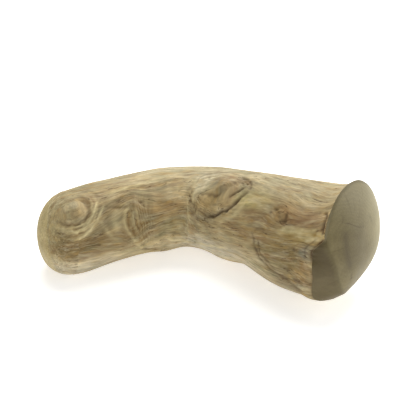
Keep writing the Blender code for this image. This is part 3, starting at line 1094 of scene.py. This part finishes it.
def remapped(tree, value, from_low, from_high, to_low, to_high, soft=False):
    """The value moved from one range to another, and held inside it."""
    made = add_node(
        tree, "ShaderNodeMapRange",
        {"interpolation_type": "SMOOTHSTEP" if soft else "LINEAR"},
        {0: value, 1: from_low, 2: from_high, 3: to_low, 4: to_high},
    )
    return made.outputs[0]


def mixed(tree, share, first, second):
    """The second colour laid over a share of the first; either may be a hexadecimal
    colour or a socket."""
    sockets = [rgba(x) if isinstance(x, str) else x for x in (first, second)]
    made = add_node(
        tree, "ShaderNodeMix", {"data_type": "RGBA"}, {0: share, 6: sockets[0], 7: sockets[1]}
    )
    return made.outputs[2]


def calculated(tree, operation, first, second=0.0, third=0.0):
    """A sum, product or the like of numbers or sockets."""
    inputs = {0: first, 1: second, 2: third}
    return add_node(tree, "ShaderNodeMath", {"operation": operation}, inputs).outputs[0]


def product(tree, first, second):
    """Two numbers or sockets, multiplied."""
    return calculated(tree, "MULTIPLY", first, second)


def vector_step(tree, operation, first, second=(0.0, 0.0, 0.0)):
    """The outputs of one step of arithmetic on vectors."""
    inputs = {0: first, 1: second}
    return add_node(tree, "ShaderNodeVectorMath", {"operation": operation}, inputs).outputs


def scaled_colour(tree, colour, factor):
    """A colour made lighter or darker by a number."""
    inputs = {0: colour, "Scale": factor}
    return add_node(tree, "ShaderNodeVectorMath", {"operation": "SCALE"}, inputs).outputs[0]


def new_material(name):
    """An empty material, its tree, and its Principled shader."""
    material = bpy.data.materials.new(name)
    material.use_nodes = True
    tree = material.node_tree
    return material, tree, tree.nodes["Principled BSDF"]


def join_surface(tree, shader, colour, height, strength, depth):
    """The colour, and a bump as deep as the number of metres, joined to the shader."""
    bump = add_node(tree, "ShaderNodeBump", inputs={
        "Strength": strength, "Distance": depth, "Height": height,
    })
    tree.links.new(colour, shader.inputs["Base Color"])
    tree.links.new(bump.outputs[0], shader.inputs["Normal"])


def weathered_wood():
    """Root wood stripped of its bark, then brushed and dried.  The eye gets long matt
    fibres in tan and olive that part round the knots, cream where they are worn, and
    dark brown in the creases and pits.  On crests and streaks the cream is partly painted
    highlight; in the creases, pits, hollows and furrows the dark is partly painted shade."""
    material, tree, shader = new_material("stripped_root_wood")
    place = attribute(tree, "grain", "Vector")
    colour = attribute(tree, "tone", "Color")

    # Drifts of redder, greener, yellower and paler wood, a few millimetres wide.
    for drift_colour, long, wide, most, offset in DRIFTS:
        drift = stretched_noise(tree, place, long, wide, DRIFT_DETAIL, DRIFT_ROUGHNESS, offset)
        colour = mixed(tree, remapped(tree, drift, 0.50, 0.72, 0.0, most), colour, drift_colour)

    # Broad light and dark clouds.
    cloud = stretched_noise(tree, place, *NOISES["cloud"])
    colour = scaled_colour(tree, colour, remapped(tree, cloud, 0.32, 0.66, 0.85, 1.12))

    # Streaks up to a millimetre wide.
    streak = stretched_noise(tree, place, *NOISES["streak"])
    colour = mixed(tree, remapped(tree, streak, 0.55, 0.72, 0.0, 0.34), colour, PALE_WOOD_AND_HIGHLIGHT)
    colour = scaled_colour(tree, colour, remapped(tree, streak, 0.30, 0.58, 0.80, 1.03))

    # Single fibres, a quarter of a millimetre wide.
    fibre = stretched_noise(tree, place, *NOISES["fibre"])
    colour = scaled_colour(tree, colour, remapped(tree, fibre, 0.30, 0.70, 0.77, 1.23))

    # A few hairline cracks, in patches, where one noise crosses its middle value.
    hairline = stretched_noise(tree, place, *NOISES["hairline"])
    off_line = calculated(tree, "ABSOLUTE", calculated(tree, "SUBTRACT", hairline, 0.5))
    patch = stretched_noise(tree, place, *NOISES["hairline_patch"])
    patch = remapped(tree, patch, 0.50, 0.60, 0.0, 0.75)
    crack = product(tree, remapped(tree, off_line, 0.004, 0.024, 1.0, 0.0), patch)
    colour = mixed(tree, crack, colour, DARK_WOOD_AND_SHADE)

    # Short torn fibres in patches: cream where they lift, dark where they have gone.
    fleck = stretched_noise(tree, place, *NOISES["fleck"])
    patch = stretched_noise(tree, place, *NOISES["fleck_patch"])
    patch = remapped(tree, patch, 0.44, 0.60, 0.15, 1.0)
    lifted = product(tree, remapped(tree, fleck, 0.56, 0.68, 0.0, 0.36), patch)
    colour = mixed(tree, lifted, colour, PALE_WOOD_AND_HIGHLIGHT)
    gone = product(tree, remapped(tree, fleck, 0.44, 0.32, 0.0, 0.40), patch)
    colour = mixed(tree, gone, colour, DARK_WOOD_AND_SHADE)

    # Ridges are painted paler and the furrows between them darker: partly wear, partly
    # painted highlight and shade.
    relief = attribute(tree, "relief", "Fac")
    colour = scaled_colour(tree, colour, remapped(tree, relief, -0.7, 0.7, 0.78, 1.16))

    # Pale crests and streaks, partly worn and partly painted highlight, and dark creases,
    # pits and hollows, partly stain and partly painted shade, where the mesh says they are.
    ragged = remapped(tree, streak, 0.35, 0.65, 0.75, 1.15)
    for name, tone in (("pale", PALE_WOOD_AND_HIGHLIGHT), ("dark", DARK_WOOD_AND_SHADE)):
        amount = product(tree, attribute(tree, name, "Fac"), ragged)
        colour = mixed(tree, calculated(tree, "MINIMUM", amount, 1.0), colour, tone)

    # The sanded nose shows paler cut fibres.
    cut_fibres = stretched_noise(tree, place, *NOISES["cut_fibres"])
    cut_fibres = remapped(tree, cut_fibres, 0.38, 0.62, 0.0, 1.0)
    nose = mixed(tree, cut_fibres, NOSE_FURROWS, NOSE_FIBRES)
    colour = mixed(tree, product(tree, attribute(tree, "sanded", "Fac"), 0.45), colour, nose)

    height = calculated(tree, "MULTIPLY_ADD", streak, 1.0, product(tree, fibre, 0.35))
    join_surface(tree, shader, colour, height, 0.55, 0.0005)
    tree.links.new(remapped(tree, streak, 0.3, 0.7, 0.84, 0.68), shader.inputs["Roughness"])
    shader.inputs["IOR"].default_value = 1.42
    return material


def sanded_end():
    """The wide end's sanded face.  The eye gets a smoother grey-olive wood with faint
    rings round an off-centre heart, hairline drying cracks, and a darker slanting facet
    at its lower front."""
    material, tree, shader = new_material("sanded_end_grain")
    place = attribute(tree, "face_place", "Vector")
    apart = add_node(tree, "ShaderNodeSeparateXYZ", inputs={0: place}).outputs
    to_front, up = apart["X"], apart["Y"]
    wobble = stretched_noise(tree, place, *NOISES["face_wobble"])
    from_heart = vector_step(tree, "DISTANCE", place, FACE_HEART)["Value"]
    ring_place = calculated(tree, "MULTIPLY_ADD", wobble, RING_WOBBLE, from_heart)

    # Blotches; the back painted paler, a highlight from the light behind on the right; the
    # heart dark, partly its own darker wood and partly painted shade on the side away from
    # that light; the lower front dark, the top greyer.
    blotch = stretched_noise(tree, place, *NOISES["face_blotch"])
    colour = mixed(tree, remapped(tree, blotch, 0.22, 0.78, 0.0, 1.0), FACE_TONE, FACE_LIGHT)
    colour = mixed(tree, remapped(tree, to_front, -24.0, 2.0, 0.7, 0.0), colour, FACE_BACK_HIGHLIGHT)
    near_heart = remapped(tree, ring_place, 6.0, 26.0, 0.60, 0.0, soft=True)
    colour = mixed(tree, near_heart, colour, FACE_DARK)
    low = remapped(tree, up, -20.0, 2.0, 0.4, 0.0)
    low_front = product(tree, low, remapped(tree, to_front, -10.0, 10.0, 0.3, 1.0))
    colour = mixed(tree, low_front, colour, FACE_DARK)
    colour = mixed(tree, remapped(tree, up, 6.0, 22.0, 0.0, 0.7), colour, FACE_TOP)

    # Faint rings round the heart.
    rings = calculated(tree, "SINE", product(tree, ring_place, 2 * pi / RING_APART))
    colour = scaled_colour(tree, colour, remapped(tree, rings, -1.0, 1.0, 0.955, 1.035))

    # Short drying checks that run out from the heart.
    outwards = vector_step(tree, "SUBTRACT", place, FACE_HEART)["Vector"]
    outwards = vector_step(tree, "NORMALIZE", outwards)["Vector"]
    check = stretched_noise(tree, outwards, *NOISES["face_check"])
    check = remapped(tree, check, 0.58, 0.74, 0.0, 0.4)
    patch = remapped(tree, wobble, 0.45, 0.62, 0.0, 1.0)
    colour = mixed(tree, product(tree, check, patch), colour, FACE_DARK)

    # The facet, darker towards its upper end, and the line where it meets the dome.
    shade = remapped(tree, up, -16.0, 4.0, 0.46, 0.82)
    facet = product(tree, attribute(tree, "facet", "Fac"), shade)
    colour = mixed(tree, facet, colour, FACET_TONE)
    edge = product(tree, attribute(tree, "facet_edge", "Fac"), 0.5)
    colour = mixed(tree, edge, colour, FACE_DARK)

    # Fine specks, then the cracks and the stain that the mesh carries.
    speck = stretched_noise(tree, place, *NOISES["face_speck"])
    colour = scaled_colour(tree, colour, remapped(tree, speck, 0.3, 0.7, 0.93, 1.06))
    colour = mixed(tree, attribute(tree, "face_stain", "Fac"), colour, CRACK_TONE)

    join_surface(tree, shader, colour, speck, 0.35, 0.0002)
    shader.inputs["Roughness"].default_value = 0.52
    shader.inputs["IOR"].default_value = 1.45
    return material


def floor_finish():
    """Matt near-white acrylic, lit from within as a light table is: it gives the eye a
    plain pale ground and lifts the shade under the root."""
    material, _, shader = new_material("pale_floor")
    shader.inputs["Base Color"].default_value = rgba(FLOOR_COLOUR)
    shader.inputs["Roughness"].default_value = 0.9
    shader.inputs["Emission Color"].default_value = rgba("FFFFFF")
    shader.inputs["Emission Strength"].default_value = FLOOR_GLOW
    return material


# ================================================================ the scene


def add_object(name, data):
    """A new object at the origin."""
    made = bpy.data.objects.new(name, data)
    bpy.context.scene.collection.objects.link(made)
    return made


def add_floor():
    """A wide plain floor at z = 0."""
    signs = [(-1, -1), (1, -1), (1, 1), (-1, 1)]
    corners = [(FLOOR_REACH * x, FLOOR_REACH * y, 0) for x, y in signs]
    data = bpy.data.meshes.new("floor")
    data.from_pydata(corners, [], [(0, 1, 2, 3)])
    data.materials.append(floor_finish())
    floor = add_object("floor", data)


def add_light(name, place, target, size, power, colour):
    """A square soft light that faces the target."""
    data = bpy.data.lights.new(name, "AREA")
    data.shape = "SQUARE"
    data.size = size
    data.energy = power
    data.color = linear(colour)
    light = add_object(name, data)
    light.location = place
    light.rotation_mode = "QUATERNION"
    light.rotation_quaternion = (Vector(target) - Vector(place)).to_track_quat("-Z", "Y")


def add_camera():
    """A camera in front of the root, a little to its right and above it."""
    data = bpy.data.cameras.new("camera")
    data.lens = CAMERA_LENS
    data.clip_start, data.clip_end = 0.01, 20.0
    camera = add_object("camera", data)
    back = Vector((
        sin(CAMERA_AZIMUTH) * cos(CAMERA_ELEVATION),
        -cos(CAMERA_AZIMUTH) * cos(CAMERA_ELEVATION),
        sin(CAMERA_ELEVATION),
    ))
    camera.location = CAMERA_TARGET + back * CAMERA_DISTANCE
    camera.rotation_mode = "QUATERNION"
    camera.rotation_quaternion = (-back).to_track_quat("-Z", "Y")
    bpy.context.scene.camera = camera


def light_the_scene():
    """A bright even sky, a broad light overhead and one behind on the right."""
    world = bpy.data.worlds.new("studio")
    world.use_nodes = True
    background = world.node_tree.nodes["Background"]
    background.inputs["Color"].default_value = rgba("FFFFFF")
    background.inputs["Strength"].default_value = SKY_STRENGTH
    bpy.context.scene.world = world
    for light in LIGHTS:
        add_light(*light)
    bpy.context.scene.view_settings.view_transform = "Standard"


root = add_object(NODE + "_wood", root_mesh())
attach(root, "root")
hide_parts(NODE)
add_floor()
light_the_scene()
add_camera()
